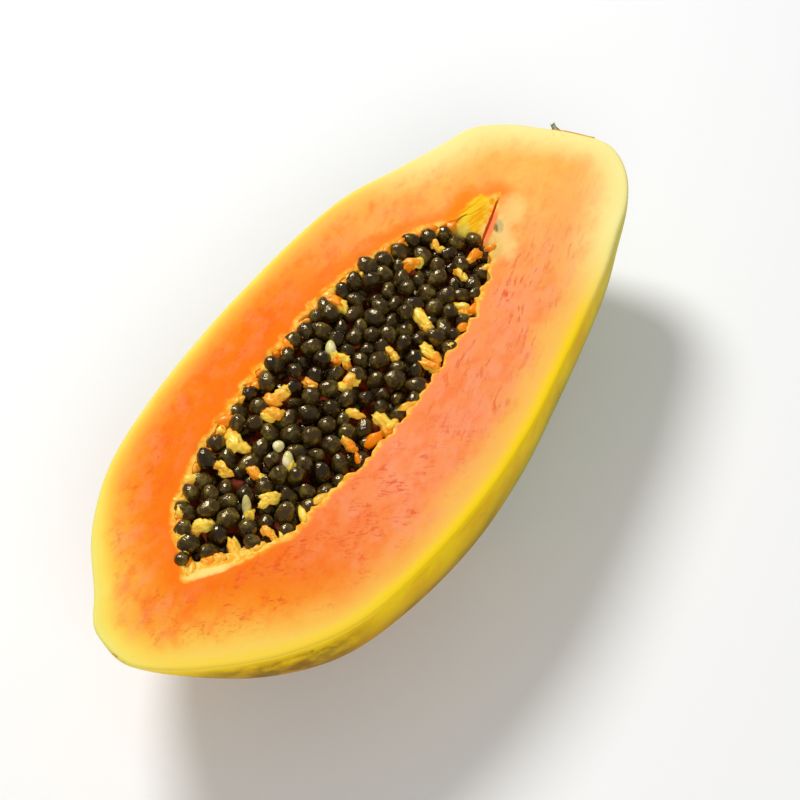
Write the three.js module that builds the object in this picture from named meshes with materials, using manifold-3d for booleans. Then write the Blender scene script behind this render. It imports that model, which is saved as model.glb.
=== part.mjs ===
// Half a papaya, cut lengthwise, lying on its rounded back with its seeds still in place.
// Millimetres, +Z up. The origin is on the surface that the fruit lies on, under its middle.
// +X points along the fruit to the stalk end. The cut face is level and on top.

import * as THREE from "three";
import { mergeVertices } from "three/addons/utils/BufferGeometryUtils.js";
import Module from "manifold-3d";

const wasm = await Module();
wasm.setup();

// The fruit's body
const CUT_HEIGHT = 51.6; // of the cut face above the surface it lies on
const CORE_Y = 7.7; // the line from blossom tip to stalk, off the middle because the fruit is bowed
const SHOULDER = 0.025; // how much the flanks swell between the cut edge and the belly
const LEAN = 6.8; // the flanks hang this far towards the thick side, because the cut missed the core
const LEAN_LOST = 0.6; // and this share less at the lowest line
const TIP_FLATTER = 0.35; // the share of its depth that the blossom tip lacks
const TIP_FLATTER_OVER = 12;
const TIP_UNDERCUT = 1; // how much more slowly its skin drops from the cut edge
const TIP_UNDERCUT_OVER = 20;
const BODY_STATIONS = 44;
const BODY_ARCS = 20;

// The cut edge from the blossom tip to the stalk end, as distances from the core line
const THIN_SIDE = [
  [-122.0, -3], [-118.3, 6.3], [-109, 14], [-94, 27], [-74, 37], [-50, 42], [-22, 44.5], [6, 45],
  [32, 44], [54, 41], [72, 34.5], [89, 28.5], [102.5, 24], [110.6, 15], [115.7, 4], [122.2, -13],
];
const THICK_SIDE = [
  [-122.0, -3], [-121.6, -11.5], [-113.5, -25], [-97, -42], [-77, -53.5], [-52, -58.4], [-24, -60],
  [4, -58.3], [30, -54], [53, -49.6], [72, -45.4], [88, -40.6], [102, -36.3], [113, -29.8],
  [120, -21.5], [122.2, -13],
];

// The seed cavity: its half widths on each side of the core line, at even steps along it
const CAVITY_FROM = -92;
const CAVITY_TO = 80;
const CAVITY_THIN_SIDE = [-4.8, 9.5, 15.6, 19, 20.8, 21.6, 22, 22.4, 21.4, 18.2, 13.8, 4.6, 0];
const CAVITY_THICK_SIDE = [-4.8, -14.2, -20.2, -21.2, -23.2, -23.8, -24.6, -22.8, -21.9, -19.6, -14.8, -8.4, 0];
const CAVITY_DEPTH = 21;
const CAVITY_RISE_FROM = 44; // the floor rises from here to the stalk end, and loses this share of its depth
const CAVITY_RISE = 0.9;
const CAVITY_STATIONS = 72;
const CAVITY_ARCS = 10;
const RAGGED = 0.55; // how far the torn pulp of its wall wanders
const CUT_THROUGH = 9; // how far a cutting body stands above the cut face

// Lumps of pulp along the cavity's rim, left on the wall where the seeds came away
const RIM_LUMPS = 52;
const RIM_LUMP_SIZE = [1.5, 2.6];

// The seeds, each in its sac
const SEEDS = 150;
const SEED_LENGTH = [5.7, 7.7];
const SEED_WIDTH_SHARE = 0.8;
const SEED_WALL_ROOM = 2.3; // between a seed's middle and the wall
const SEED_TIP_ROOM = 18; // between it and the stalk end of the cavity
const SHELF = 8; // pulp keeps the seeds this much further off the thick side at the blossom end
const HEAP_TOP = 2.2; // the seeds' middles lie about this far under the cut face
const HEAP_RELIEF = 1.5; // and each up to this much higher or lower
const HEAP_SLOPE = 0.06; // the heap sinks towards the thick side
const PACKED_UNDER = 1; // the seeds this much deeper are one packed mass
const SETTLE_STEPS = 40;
const SETTLE_ROOM = 0.9; // share of two seeds' size that they keep apart
const CLEARANCE = 0.35;
const FIRST_DRAW = 5867;

// Bits of pulp and unripe seeds between the ripe ones: along, across, length, heading in degrees
const BITS = [
  [-63.3, -4.7, 7.0, 36], [-43.5, -5.0, 4.8, 36], [-41.1, 0.2, 3.6, 90], [-2.5, 8.3, 4.8, 35],
  [-25.9, 11.6, 8.2, -26], [-32.1, 8.6, 6.4, -41], [-17.1, 5.8, 5.4, 73], [-46.3, 11.2, 8.5, 77],
  [-56.5, 9.2, 6.2, 83], [-52.0, 0.1, 5.6, 59], [-75.3, 2.4, 6.4, -46], [-56.9, -7.5, 6.0, -28],
  [-17.6, -11.0, 5.0, 89], [-16.1, -20.3, 8.7, 74], [-9.9, -3.4, 6.2, -37], [-27.4, -16.1, 5.4, 64],
  [-66.5, -14.6, 5.0, 75], [23.6, -8.0, 8.2, 44], [35.1, -15.1, 6.0, 86], [7.6, -7.3, 5.4, 68],
  [14.6, -17.2, 6.6, 87], [10.3, -20.0, 6.4, 76], [51.2, 4.7, 5.0, 73], [46.6, -7.6, 5.2, 79],
  [54.9, -6.3, 6.0, -15], [14.5, 17.6, 7.2, 89], [-3.6, 3.3, 6.2, 86], [40.8, 7.2, 6.4, -19],
];
const BIT_THICKNESS_SHARE = 0.5;

// The stalk's torn remnant, and the dimple that it stands in
const STALK_TIP_X = 119.6;
const STALK_LENGTH = 6;
const STALK_ROOT_RADIUS = 2.6;
const STALK_TIP_RADIUS = 1.6;
const DIMPLE_X = 126.1;
const DIMPLE_RADIUS = 9;

let drawState = FIRST_DRAW;

// A random number between low and high, the same ones on each run
function draw(low, high) {
  drawState = (Math.imul(drawState, 1664525) + 1013904223) >>> 0;
  return low + ((high - low) * drawState) / 4294967296;
}

// The value at a share from 0 to 1 along a smooth line through evenly spaced values
function smooth(values, share) {
  const line = new THREE.SplineCurve(values.map((v, i) => new THREE.Vector2(i, v)));
  return line.getPoint(Math.min(Math.max(share, 0), 1)).y;
}

function solidFrom(geometry) {
  const bare = new THREE.BufferGeometry().setAttribute("position", geometry.getAttribute("position"));
  bare.setIndex(geometry.index);
  const merged = mergeVertices(bare, 1e-3);
  const corners = [];
  for (let i = 0; i < merged.index.count; i += 3) {
    const face = [0, 1, 2].map((k) => merged.index.getX(i + k));
    if (new Set(face).size === 3) corners.push(...face);
  }
  return new wasm.Manifold(
    new wasm.Mesh({
      numProp: 3,
      vertProperties: new Float32Array(merged.attributes.position.array),
      triVerts: new Uint32Array(corners),
    }),
  );
}

function geometryFrom(solid) {
  const mesh = solid.getMesh();
  const geometry = new THREE.BufferGeometry();
  geometry.setAttribute("position", new THREE.BufferAttribute(new Float32Array(mesh.vertProperties), 3));
  geometry.setIndex(new THREE.BufferAttribute(new Uint32Array(mesh.triVerts), 1));
  geometry.computeVertexNormals();
  return geometry;
}

// A closed body from rings that run from the far rim, under the belly, to the near rim.
// pointAt(i, j) gives point j of ring i, and a flat lid joins each ring's two ends.
function trough(stations, arcs, pointAt) {
  const positions = [];
  const faces = [];
  const row = arcs + 1;
  for (let i = 0; i <= stations; i++) {
    for (let j = 0; j <= arcs; j++) positions.push(...pointAt(i, j));
  }
  for (let i = 0; i < stations; i++) {
    for (let j = 0; j <= arcs; j++) {
      const a = i * row + j;
      const b = i * row + ((j + 1) % row);
      faces.push(a, b + row, b, a, a + row, b + row);
    }
  }
  const geometry = new THREE.BufferGeometry();
  geometry.setAttribute("position", new THREE.Float32BufferAttribute(positions, 3));
  geometry.setIndex(faces);
  return solidFrom(geometry);
}

function outlinePoint(side, share) {
  const line = new THREE.SplineCurve(side.map(([x, y]) => new THREE.Vector2(x, y + CORE_Y)));
  return line.getPoint(share);
}

// 0 up to one place, 1 from another on, and a soft step between
function step(value, from, to) {
  return THREE.MathUtils.smoothstep(value, from, to);
}

// Half of the fruit with no cavity, before its belly is flattened
function bodySolid() {
  const even = (i) => (1 - Math.cos((Math.PI * i) / BODY_STATIONS)) / 2;
  const shares = Array.from({ length: BODY_STATIONS + 1 }, (_, i) => (even(i) + i / BODY_STATIONS) / 2);
  return trough(BODY_STATIONS, BODY_ARCS, (i, j) => {
    const thin = outlinePoint(THIN_SIDE, shares[i]);
    const thick = outlinePoint(THICK_SIDE, shares[i]);
    const angle = (Math.PI * j) / BODY_ARCS;
    const swell = 1 + SHOULDER * Math.sin(2 * angle) ** 2;
    const across = thin.clone().sub(thick).multiplyScalar(0.5);
    const middle = thin.clone().add(thick).multiplyScalar(0.5);
    const half = across.length();
    const fromTip = middle.x - THIN_SIDE[0][0];
    const drop = Math.sin(angle) ** (1 + TIP_UNDERCUT * Math.exp(-fromTip / TIP_UNDERCUT_OVER));
    const depth = half * (1 - TIP_FLATTER * Math.exp(-fromTip / TIP_FLATTER_OVER)) * drop * swell;
    const hang = Math.sin(angle) * (1 - LEAN_LOST * Math.sin(angle) ** 4);
    const lean = LEAN * hang * step(middle.x, -100, -10) * (1 - step(middle.x, 75, 122));
    const spot = middle.addScaledVector(across, Math.cos(angle) * swell - lean / Math.max(half, 1e-6));
    return [spot.x, spot.y, CUT_HEIGHT - depth];
  });
}

// Where the cavity's wall stands at a place along the fruit, torn a little by two waves
function wallAt(side, x) {
  const share = (x - CAVITY_FROM) / (CAVITY_TO - CAVITY_FROM);
  const fade = Math.sin(Math.PI * Math.min(Math.max(share, 0), 1));
  const phase = side === CAVITY_THIN_SIDE ? 0 : 2;
  const torn = Math.sin(x * 0.83 + phase) + 0.7 * Math.sin(x * 1.71 + 2 * phase);
  return CORE_Y + smooth(side, share) + RAGGED * torn * fade;
}

// The space of the cavity up to a height, its wall and floor moved in by an inset
function cavitySolid(inset, top) {
  return trough(CAVITY_STATIONS, CAVITY_ARCS + 2, (i, j) => {
    const even = (1 - Math.cos((Math.PI * i) / CAVITY_STATIONS)) / 2;
    const share = (even + i / CAVITY_STATIONS) / 2;
    const x = CAVITY_FROM + inset + (CAVITY_TO - CAVITY_FROM - 2 * inset) * share;
    const thin = wallAt(CAVITY_THIN_SIDE, x);
    const thick = wallAt(CAVITY_THICK_SIDE, x);
    const middle = (thin + thick) / 2;
    const atEnd = i === 0 || i === CAVITY_STATIONS;
    const half = atEnd ? 0 : Math.max((thin - thick) / 2 - inset, 0.05);
    const angle = (Math.PI * Math.min(Math.max(j - 1, 0), CAVITY_ARCS)) / CAVITY_ARCS;
    const risen = 1 - CAVITY_RISE * step(x, CAVITY_RISE_FROM, CAVITY_TO);
    const full = CAVITY_DEPTH * Math.sqrt(half / 22) * risen - (atEnd ? 0 : Math.min(inset, half));
    const z = j === 0 || j === CAVITY_ARCS + 2 ? top : CUT_HEIGHT - Math.max(full, 0.2) * Math.sin(angle);
    return [x, middle + half * Math.cos(angle), z];
  });
}

// Everything below a height, level or sloping up towards the thin side
function below(height, slope = 0) {
  const slab = new THREE.BoxGeometry(400, 400, 200);
  slab.translate(0, 0, -100);
  slab.rotateX(Math.atan(slope));
  slab.translate(0, CORE_Y, height);
  return solidFrom(slab);
}

// An egg of few faces: long axis at a heading in the plane and a tilt out of it
function egg(place, radii, heading, tilt) {
  const geometry = EGG_FACES.clone();
  geometry.scale(...radii);
  geometry.applyMatrix4(
    new THREE.Matrix4().makeRotationFromEuler(new THREE.Euler(0, tilt, heading, "ZYX")).setPosition(...place),
  );
  return solidFrom(geometry);
}

const EGG_FACES = new THREE.IcosahedronGeometry(1, 0);

// Pulp left along the rim, each lump sunk in the wall, with extra size where a space is cut for it
function rimLumps() {
  const lumps = [];
  for (let i = 0; i < RIM_LUMPS; i++) {
    const side = i % 2 ? CAVITY_THICK_SIDE : CAVITY_THIN_SIDE;
    const share = 0.05 + (0.9 * (i + draw(0, 1))) / RIM_LUMPS;
    const x = CAVITY_FROM + (CAVITY_TO - CAVITY_FROM) * share;
    const size = draw(...RIM_LUMP_SIZE);
    lumps.push({
      place: [x, wallAt(side, x) + draw(-0.4, 0.4), CUT_HEIGHT - size - draw(0.2, 2.2)],
      radii: [size * draw(1.0, 1.7), size * draw(0.7, 1.0), size],
      heading: draw(-0.7, 0.7),
      tilt: draw(-0.4, 0.4),
    });
  }
  return lumps;
}

function lumpSolids(lumps, extra) {
  return lumps.map(({ place, radii, heading, tilt }) =>
    egg(place, radii.map((r) => r + extra), heading, tilt),
  );
}

// One thing in the heap: a ripe seed that may be pushed about, or a bit with a fixed place
function heapMember(x, y, length, heading, ripe) {
  return { x, y, length, heading, ripe, tilt: draw(-0.75, 0.75), lift: ripe ? draw(-HEAP_RELIEF, HEAP_RELIEF) : 0 };
}

function keepInCavity(seed) {
  seed.x = Math.min(Math.max(seed.x, CAVITY_FROM + 2 * SEED_WALL_ROOM), CAVITY_TO - SEED_TIP_ROOM);
  const shelf = SHELF * (1 - step(seed.x, -88, -64));
  const high = wallAt(CAVITY_THIN_SIDE, seed.x) - SEED_WALL_ROOM;
  const low = wallAt(CAVITY_THICK_SIDE, seed.x) + SEED_WALL_ROOM + shelf;
  seed.y = high < low ? (high + low) / 2 : Math.min(Math.max(seed.y, low), high);
}

function pushApart(one, other) {
  const want = (SETTLE_ROOM * (one.length + other.length)) / 2;
  const [dx, dy] = [other.x - one.x, other.y - one.y];
  const apart = Math.hypot(dx, dy);
  if (apart >= want || apart < 1e-6) return;
  const push = (0.5 * (want - apart)) / apart;
  for (const [seed, way] of [[one, -push], [other, push]]) {
    if (!seed.ripe) continue;
    seed.x += way * dx;
    seed.y += way * dy;
  }
}

// Scatters the ripe seeds between the bits and lets them push each other apart
function settledHeap() {
  const heap = BITS.map(([x, y, length, degrees]) =>
    heapMember(x, y + CORE_Y, length, THREE.MathUtils.degToRad(degrees), false),
  );
  while (heap.length < BITS.length + SEEDS) {
    const x = draw(CAVITY_FROM, CAVITY_TO - SEED_TIP_ROOM);
    const y = draw(...[CAVITY_THICK_SIDE, CAVITY_THIN_SIDE].map((side) => wallAt(side, x)));
    const widest = Math.max(...CAVITY_THIN_SIDE) - Math.min(...CAVITY_THICK_SIDE);
    const here = wallAt(CAVITY_THIN_SIDE, x) - wallAt(CAVITY_THICK_SIDE, x);
    if (draw(0, widest) < here) heap.push(heapMember(x, y, draw(...SEED_LENGTH), draw(0, Math.PI), true));
  }
  for (let round = 0; round < SETTLE_STEPS; round++) {
    heap.forEach((one, i) => heap.slice(i + 1).forEach((other) => pushApart(one, other)));
    heap.filter((member) => member.ripe).forEach(keepInCavity);
  }
  return heap;
}

function memberSolid({ x, y, length, heading, ripe, tilt, lift }) {
  const thick = (length / 2) * (ripe ? SEED_WIDTH_SHARE : BIT_THICKNESS_SHARE);
  const z = CUT_HEIGHT - HEAP_TOP + HEAP_SLOPE * (y - CORE_Y) + lift;
  return egg([x, y, z], [length / 2, thick, thick], heading, tilt);
}

// The torn stalk, as a whole round that the cut goes through
function stalkSolid(extra) {
  const radii = [STALK_TIP_RADIUS + extra, STALK_ROOT_RADIUS + extra];
  const stub = new THREE.CylinderGeometry(...radii, STALK_LENGTH, 12);
  stub.rotateZ(-Math.PI / 2);
  stub.translate(STALK_TIP_X - STALK_LENGTH / 2 - extra, CORE_Y, CUT_HEIGHT);
  return solidFrom(stub);
}

function dimpleSolid() {
  const ball = new THREE.IcosahedronGeometry(DIMPLE_RADIUS, 4);
  ball.translate(DIMPLE_X, CORE_Y, CUT_HEIGHT);
  return solidFrom(ball);
}

function pieceOf(name, solid, colour, roughness) {
  const material = new THREE.MeshStandardMaterial({ color: colour, roughness, metalness: 0, flatShading: true });
  const mesh = new THREE.Mesh(geometryFrom(solid), material);
  mesh.name = name;
  return mesh;
}

function buildFruit() {
  const lumps = rimLumps();
  const union = (solids) => wasm.Manifold.union(solids);
  const uncut = bodySolid();
  const flesh = uncut
    .subtract(cavitySolid(0, CUT_HEIGHT + CUT_THROUGH))
    .add(union(lumpSolids(lumps, 0)))
    .subtract(dimpleSolid())
    .subtract(stalkSolid(CLEARANCE))
    .subtract(below(0));

  const room = cavitySolid(CLEARANCE, CUT_HEIGHT + CUT_THROUGH);
  const packed = room.intersect(below(CUT_HEIGHT - HEAP_TOP - PACKED_UNDER, HEAP_SLOPE));
  const heap = union([packed, ...settledHeap().map(memberSolid)])
    .intersect(room)
    .subtract(union(lumpSolids(lumps, CLEARANCE)));
  const seeds = heap.decompose().sort((a, b) => b.volume() - a.volume())[0];

  const stalk = stalkSolid(0).intersect(below(CUT_HEIGHT));

  const fruit = new THREE.Group();
  fruit.add(pieceOf("half_fruit", flesh, 0xf08a3c, 0.45));
  fruit.add(pieceOf("seeds", seeds, 0x2a241c, 0.25));
  fruit.add(pieceOf("stalk_stub", stalk, 0x6b6650, 0.85));
  return fruit;
}

export default buildFruit();
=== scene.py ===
# %% [markdown]
# # Half a papaya
# This notebook dresses the plain solids of a cut papaya as the real fruit. The half lies on its
# rounded back with the cut face up. It has a thin waxy skin, moist flesh that turns from yellow at
# the skin to deep orange inside, a torn yellow rim round the seed cavity, and a heap of wet black
# seeds with shreds of pulp between them.

# %% Tools and the frame
import math

import bpy
import numpy as np
from mathutils import Euler, Matrix, Vector, noise


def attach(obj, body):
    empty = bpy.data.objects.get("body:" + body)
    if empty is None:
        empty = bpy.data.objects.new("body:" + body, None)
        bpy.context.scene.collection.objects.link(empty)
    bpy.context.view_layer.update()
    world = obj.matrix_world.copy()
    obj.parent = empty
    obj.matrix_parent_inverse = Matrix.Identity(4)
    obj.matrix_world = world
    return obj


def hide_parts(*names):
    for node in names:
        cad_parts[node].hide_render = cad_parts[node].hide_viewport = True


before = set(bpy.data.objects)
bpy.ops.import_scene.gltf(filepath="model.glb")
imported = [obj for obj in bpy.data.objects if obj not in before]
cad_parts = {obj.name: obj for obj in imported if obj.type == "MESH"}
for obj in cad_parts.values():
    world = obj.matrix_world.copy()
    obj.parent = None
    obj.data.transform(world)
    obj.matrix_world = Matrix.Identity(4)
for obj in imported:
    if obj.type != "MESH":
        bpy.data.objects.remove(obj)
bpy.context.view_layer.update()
MM = 0.001

# %% [markdown]
# ## Camera and light
# The picture looks down on the cut face from about 52 degrees, with the fruit's length running
# from lower left to upper right. A longish lens keeps the fruit from bulging towards the viewer.
# The light of a food picture is white and soft. One bright window stands behind the fruit, so that
# every wet seed carries a small white highlight near its top. A wide, weaker light fills the front,
# a dim even sky fills the rest, and the white table throws light back on to the skin.

# %% Camera
CUT_HEIGHT = 51.6
CORE_Y = 7.7
LOOK_AT = Vector((-7.4, -12.4, CUT_HEIGHT)) * MM
AZIMUTH, ELEVATION, DISTANCE = math.radians(-56.57), math.radians(52), 0.561

back = Vector((
    math.sin(AZIMUTH) * math.cos(ELEVATION),
    -math.cos(AZIMUTH) * math.cos(ELEVATION),
    math.sin(ELEVATION),
))
eye = bpy.data.cameras.new("eye")
eye.lens, eye.sensor_width, eye.clip_start = 85, 36, 0.01
camera = bpy.data.objects.new("eye", eye)
camera.location = LOOK_AT + back * DISTANCE
camera.rotation_euler = back.to_track_quat("Z", "Y").to_euler()
bpy.context.scene.collection.objects.link(camera)
bpy.context.scene.camera = camera
bpy.context.scene.view_settings.view_transform = "Standard"
print("camera at", [round(v, 3) for v in camera.location])


# %% Lights
def soft_light(name, at, size, power, gleams=True):
    lamp = bpy.data.lights.new(name, "AREA")
    lamp.shape, lamp.size, lamp.energy = "DISK", size, power
    holder = bpy.data.objects.new(name, lamp)
    holder.location, holder.visible_glossy = at, gleams
    holder.rotation_euler = (Vector(at) - LOOK_AT).to_track_quat("Z", "Y").to_euler()
    bpy.context.scene.collection.objects.link(holder)


soft_light("window", (0.30, 0.76, 1.0), 0.46, 12.4)
soft_light("front_fill", (-0.9, -0.9, 0.9), 1.2, 10.2, gleams=False)
sky = bpy.data.worlds.new("sky")
sky.use_nodes = True
sky.node_tree.nodes["Background"].inputs["Color"].default_value = (1, 1, 1, 1)
sky.node_tree.nodes["Background"].inputs["Strength"].default_value = 0.22
bpy.context.scene.world = sky

# %% [markdown]
# ## Writing materials as sums
# A shader graph is easier to read as a line of arithmetic than as a web of nodes. The small class
# below wraps a node's output, so that `1 - mask` adds the Math node for it. Recipe adds every other
# node, sets its options first and then fills its sockets.


# %% Shader arithmetic
class Term:
    """One output of a node, with arithmetic that adds Math nodes."""

    def __init__(self, recipe, socket):
        self.recipe, self.socket = recipe, socket

    def math(self, operation, *values, clamp=False):
        return self.recipe.node(
            "ShaderNodeMath", {"operation": operation, "use_clamp": clamp}, dict(enumerate(values))
        )

    def __add__(self, other):
        return self.math("ADD", self, other)

    def __sub__(self, other):
        return self.math("SUBTRACT", self, other)

    def __rsub__(self, other):
        return self.math("SUBTRACT", other, self)

    def __mul__(self, other):
        return self.math("MULTIPLY", self, other)

    def __truediv__(self, other):
        return self.math("DIVIDE", self, other)

    __radd__, __rmul__ = __add__, __mul__

    def between(self, low, high):
        """0 below low, 1 above high and a soft step between, or the reverse if high is lower."""
        settings = {"interpolation_type": "SMOOTHSTEP"}
        return self.recipe.node("ShaderNodeMapRange", settings, {0: self, 1: low, 2: high, 3: 0, 4: 1})


class Recipe:
    """A material and short ways to add nodes to it."""

    def __init__(self, name):
        self.material = bpy.data.materials.new(name)
        self.material.use_nodes = True
        self.tree = self.material.node_tree
        self.surface = self.tree.nodes["Principled BSDF"]
        self.place = self.node("ShaderNodeTexCoord", {}, {}, "Object")

    def fill(self, socket, value):
        if isinstance(value, Term):
            self.tree.links.new(value.socket, socket)
        else:
            socket.default_value = value

    def node(self, kind, settings, values, output=0):
        made = self.tree.nodes.new(kind)
        for key, value in settings.items():
            if key == "stops":
                ramp = made.color_ramp.elements
                while len(ramp) < len(value):
                    ramp.new(0.5)
                for stop, (position, colour) in zip(ramp, value):
                    stop.position, stop.color = position, colour
            else:
                setattr(made, key, value)
        for key, value in values.items():
            self.fill(made.inputs[key], value)
        return Term(self, made.outputs[output])

    def set(self, **values):
        for key, value in values.items():
            self.fill(self.surface.inputs[key.replace("_", " ")], value)

    def attribute(self, name):
        return self.node("ShaderNodeAttribute", {"attribute_name": name}, {}, "Fac")

    def axes(self):
        split = self.node("ShaderNodeSeparateXYZ", {}, {0: self.place}).socket.node
        return [Term(self, socket) for socket in split.outputs]

    def mix(self, share, first, second):
        return self.node("ShaderNodeMix", {"data_type": "RGBA"}, {0: share, 6: first, 7: second}, 2)

    def stretched(self, scale, turn=0.0):
        """Object coordinates turned about +Z, then scaled, so that a pattern is drawn out along x."""
        turned = self.node("ShaderNodeMapping", {}, {"Vector": self.place, "Rotation": (0, 0, turn)})
        return self.node("ShaderNodeMapping", {}, {"Vector": turned, "Scale": scale})

    def patch(self, at, reach, turn=0.0, soft=0.5, torn=0.0):
        """1 inside an oval on the cut face and 0 outside: its middle and half sizes are in mm."""
        x, y, _ = self.axes()
        x, y = x / MM - at[0], y / MM - CORE_Y - at[1]
        u = (x * math.cos(turn) + y * math.sin(turn)) / reach[0]
        v = (y * math.cos(turn) - x * math.sin(turn)) / reach[1]
        inside = u * u + v * v + torn * (self.cloud(2.4, 3) - 0.5)
        return inside.between(1 + soft, 1 - soft)

    def cloud(self, size_mm, detail=3.0, roughness=0.55, at=None, swirl=0.0):
        """Soft noise from 0 to 1 with blotches about size_mm across."""
        values = {"Vector": at or self.place, "Scale": 1 / (size_mm * MM)}
        values |= {"Detail": detail, "Roughness": roughness, "Distortion": swirl}
        return self.node("ShaderNodeTexNoise", {}, values)

    def ramp(self, value, stops):
        return self.node("ShaderNodeValToRGB", {"stops": stops}, {0: value})

    def bump(self, height, depth_mm, strength=1.0, under=None):
        values = {"Height": height, "Distance": depth_mm * MM, "Strength": strength}
        if under:
            values["Normal"] = under
        return self.node("ShaderNodeBump", {}, values)


def colour(red, green, blue):
    """A colour as a screen shows it, from 0 to 255, as the linear light that shaders use."""
    linear = [(v / 255 / 12.92 if v < 11 else ((v / 255 + 0.055) / 1.055) ** 2.4) for v in (red, green, blue)]
    return (*linear, 1)


print("materials are written as sums")

# %% [markdown]
# ## The floor
# A plain pale floor, a little wider than any view needs, catches the soft shadow.

# %% Floor
bpy.ops.object.select_all(action="DESELECT")
bpy.ops.mesh.primitive_plane_add(size=6, location=(0, 0, 0))
floor = bpy.context.object
floor.name = "floor"
paper = Recipe("white_table")
paper.set(Base_Color=(0.98, 0.98, 0.98, 1), Roughness=0.7, Specular_IOR_Level=0.2)
floor.data.materials.append(paper.material)
print("floor is", floor.dimensions.x, "m wide")

# %% [markdown]
# ## The cut edge and the cavity
# The fruit is bowed, so its two sides differ. A smooth curve through a few listed points gives
# each side of the cut edge, and another pair of curves gives the walls of the seed cavity. They are
# the same points and the same curves that shaped the plain solid, so the two agree.

# %% Outlines
THIN_SIDE = [
    (-122.0, -3), (-118.3, 6.3), (-109, 14), (-94, 27), (-74, 37), (-50, 42), (-22, 44.5), (6, 45),
    (32, 44), (54, 41), (72, 34.5), (89, 28.5), (102.5, 24), (110.6, 15), (115.7, 4), (122.2, -13),
]
THICK_SIDE = [
    (-122.0, -3), (-121.6, -11.5), (-113.5, -25), (-97, -42), (-77, -53.5), (-52, -58.4), (-24, -60),
    (4, -58.3), (30, -54), (53, -49.6), (72, -45.4), (88, -40.6), (102, -36.3), (113, -29.8),
    (120, -21.5), (122.2, -13),
]
TIP_BLUNT = 1.0
CAVITY_FROM, CAVITY_TO, CAVITY_DEPTH, RAGGED = -92, 80, 21, 0.55
CAVITY_THIN = [-4.8, 9.5, 15.6, 19, 20.8, 21.6, 22, 22.4, 21.4, 18.2, 13.8, 4.6, 0]
CAVITY_THICK = [-4.8, -14.2, -20.2, -21.2, -23.2, -23.8, -24.6, -22.8, -21.9, -19.6, -14.8, -8.4, 0]


def smooth_line(values, share):
    """The point at a share from 0 to 1 along an even Catmull-Rom curve through the values."""
    points = np.asarray(values, float)
    last = len(points) - 1
    place = last * min(max(share, 0.0), 1.0)
    i = min(int(place), last)
    w = place - i
    p0, p1 = points[max(i - 1, 0)], points[i]
    p2, p3 = points[min(i + 1, last)], points[min(i + 2, last)]
    v0, v1 = (p2 - p0) / 2, (p3 - p1) / 2
    return (2 * p1 - 2 * p2 + v0 + v1) * w**3 + (-3 * p1 + 3 * p2 - 2 * v0 - v1) * w**2 + v0 * w + p1


def step(value, low, high):
    """0 up to low, 1 from high on, and a soft step between."""
    share = min(max((value - low) / (high - low), 0.0), 1.0)
    return share * share * (3 - 2 * share)


def edge_point(side, share):
    x, y = smooth_line(side, share)
    return np.array((x - TIP_BLUNT * step(share, 0.955, 1), y + CORE_Y))


def wall_at(side, x):
    """How far across the cavity's wall stands at x, torn a little by two waves."""
    share = (x - CAVITY_FROM) / (CAVITY_TO - CAVITY_FROM)
    fade = math.sin(math.pi * min(max(share, 0), 1))
    phase = 0 if side is CAVITY_THIN else 2
    torn = math.sin(x * 0.83 + phase) + 0.7 * math.sin(x * 1.71 + 2 * phase)
    return CORE_Y + float(smooth_line(side, share)) + RAGGED * torn * fade


print("fruit is %.1f mm long" % (THIN_SIDE[-1][0] - THIN_SIDE[0][0]))

# %% [markdown]
# ## The half fruit
# Skin, flesh and cavity wall are one closed surface. It could be carved from a ball, but the cut
# edge has to follow the real outline, so a flat grid is rolled into rings instead: each ring runs
# from the thin edge under the belly to the thick edge, in over the cut face, down through the
# cavity and out to the thin edge again. Rings stand closer at the two ends, where the form turns.
# The belly hangs a little towards the thick side, and the blossom tip is flatter than a half round.
# Near that tip torn pulp slopes down into the cavity, and at the stalk end its floor rises.
# The distance from the skin and from the cavity's rim is stored at every point for the colours.

# %% Half fruit: rings
SKIN_STEPS, FACE_STEPS, CAVITY_STEPS, RINGS = 56, 20, 34, 360
SWELL, LEAN, LEAN_LOST, TIP_FLATTER, TIP_UNDERCUT = 0.025, 6.8, 0.6, 0.35, 1
CAVITY_RISE_FROM, CAVITY_RISE, EDGE_ROUND = 44, 0.9, 1.0


def eased(count):
    return (1 - np.cos(np.pi * np.arange(count + 1) / count)) / 2


def rough(x, y, z, size_mm, seed=0):
    return noise.noise(Vector((x / size_mm + 17.3 * seed, y / size_mm, z / size_mm)))


def cavity_shares(thin, thick):
    """Where the line from the thick to the thin edge enters and leaves the cavity."""
    found = []
    for side in (CAVITY_THICK, CAVITY_THIN):
        low, high = 0.0, 1.0
        for _ in range(22):
            middle = (low + high) / 2
            x, y = thick + (thin - thick) * middle
            low, high = (low, middle) if y > wall_at(side, x) else (middle, high)
        found.append((low + high) / 2)
    return found


def cavity_floor(x, half, u):
    """How deep the cavity's surface lies under the cut face, at a share u from thick to thin wall."""
    full = CAVITY_DEPTH * math.sqrt(half / 22) * (1 - CAVITY_RISE * step(x, CAVITY_RISE_FROM, CAVITY_TO))
    bowl = full * math.sin(math.acos(1 - 2 * u))
    shelf = 1 - step(x, -76, -56)
    sloped = bowl * (1 - 0.93 * shelf * (1 - step(2 * half * u, 3, 13)))
    fold = min(u / 0.3, (1 - u) / 0.7) * min(0.4 * half, 2.8)
    web = step(x, 57, 65)
    return sloped * (1 - web) + fold * web


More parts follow.
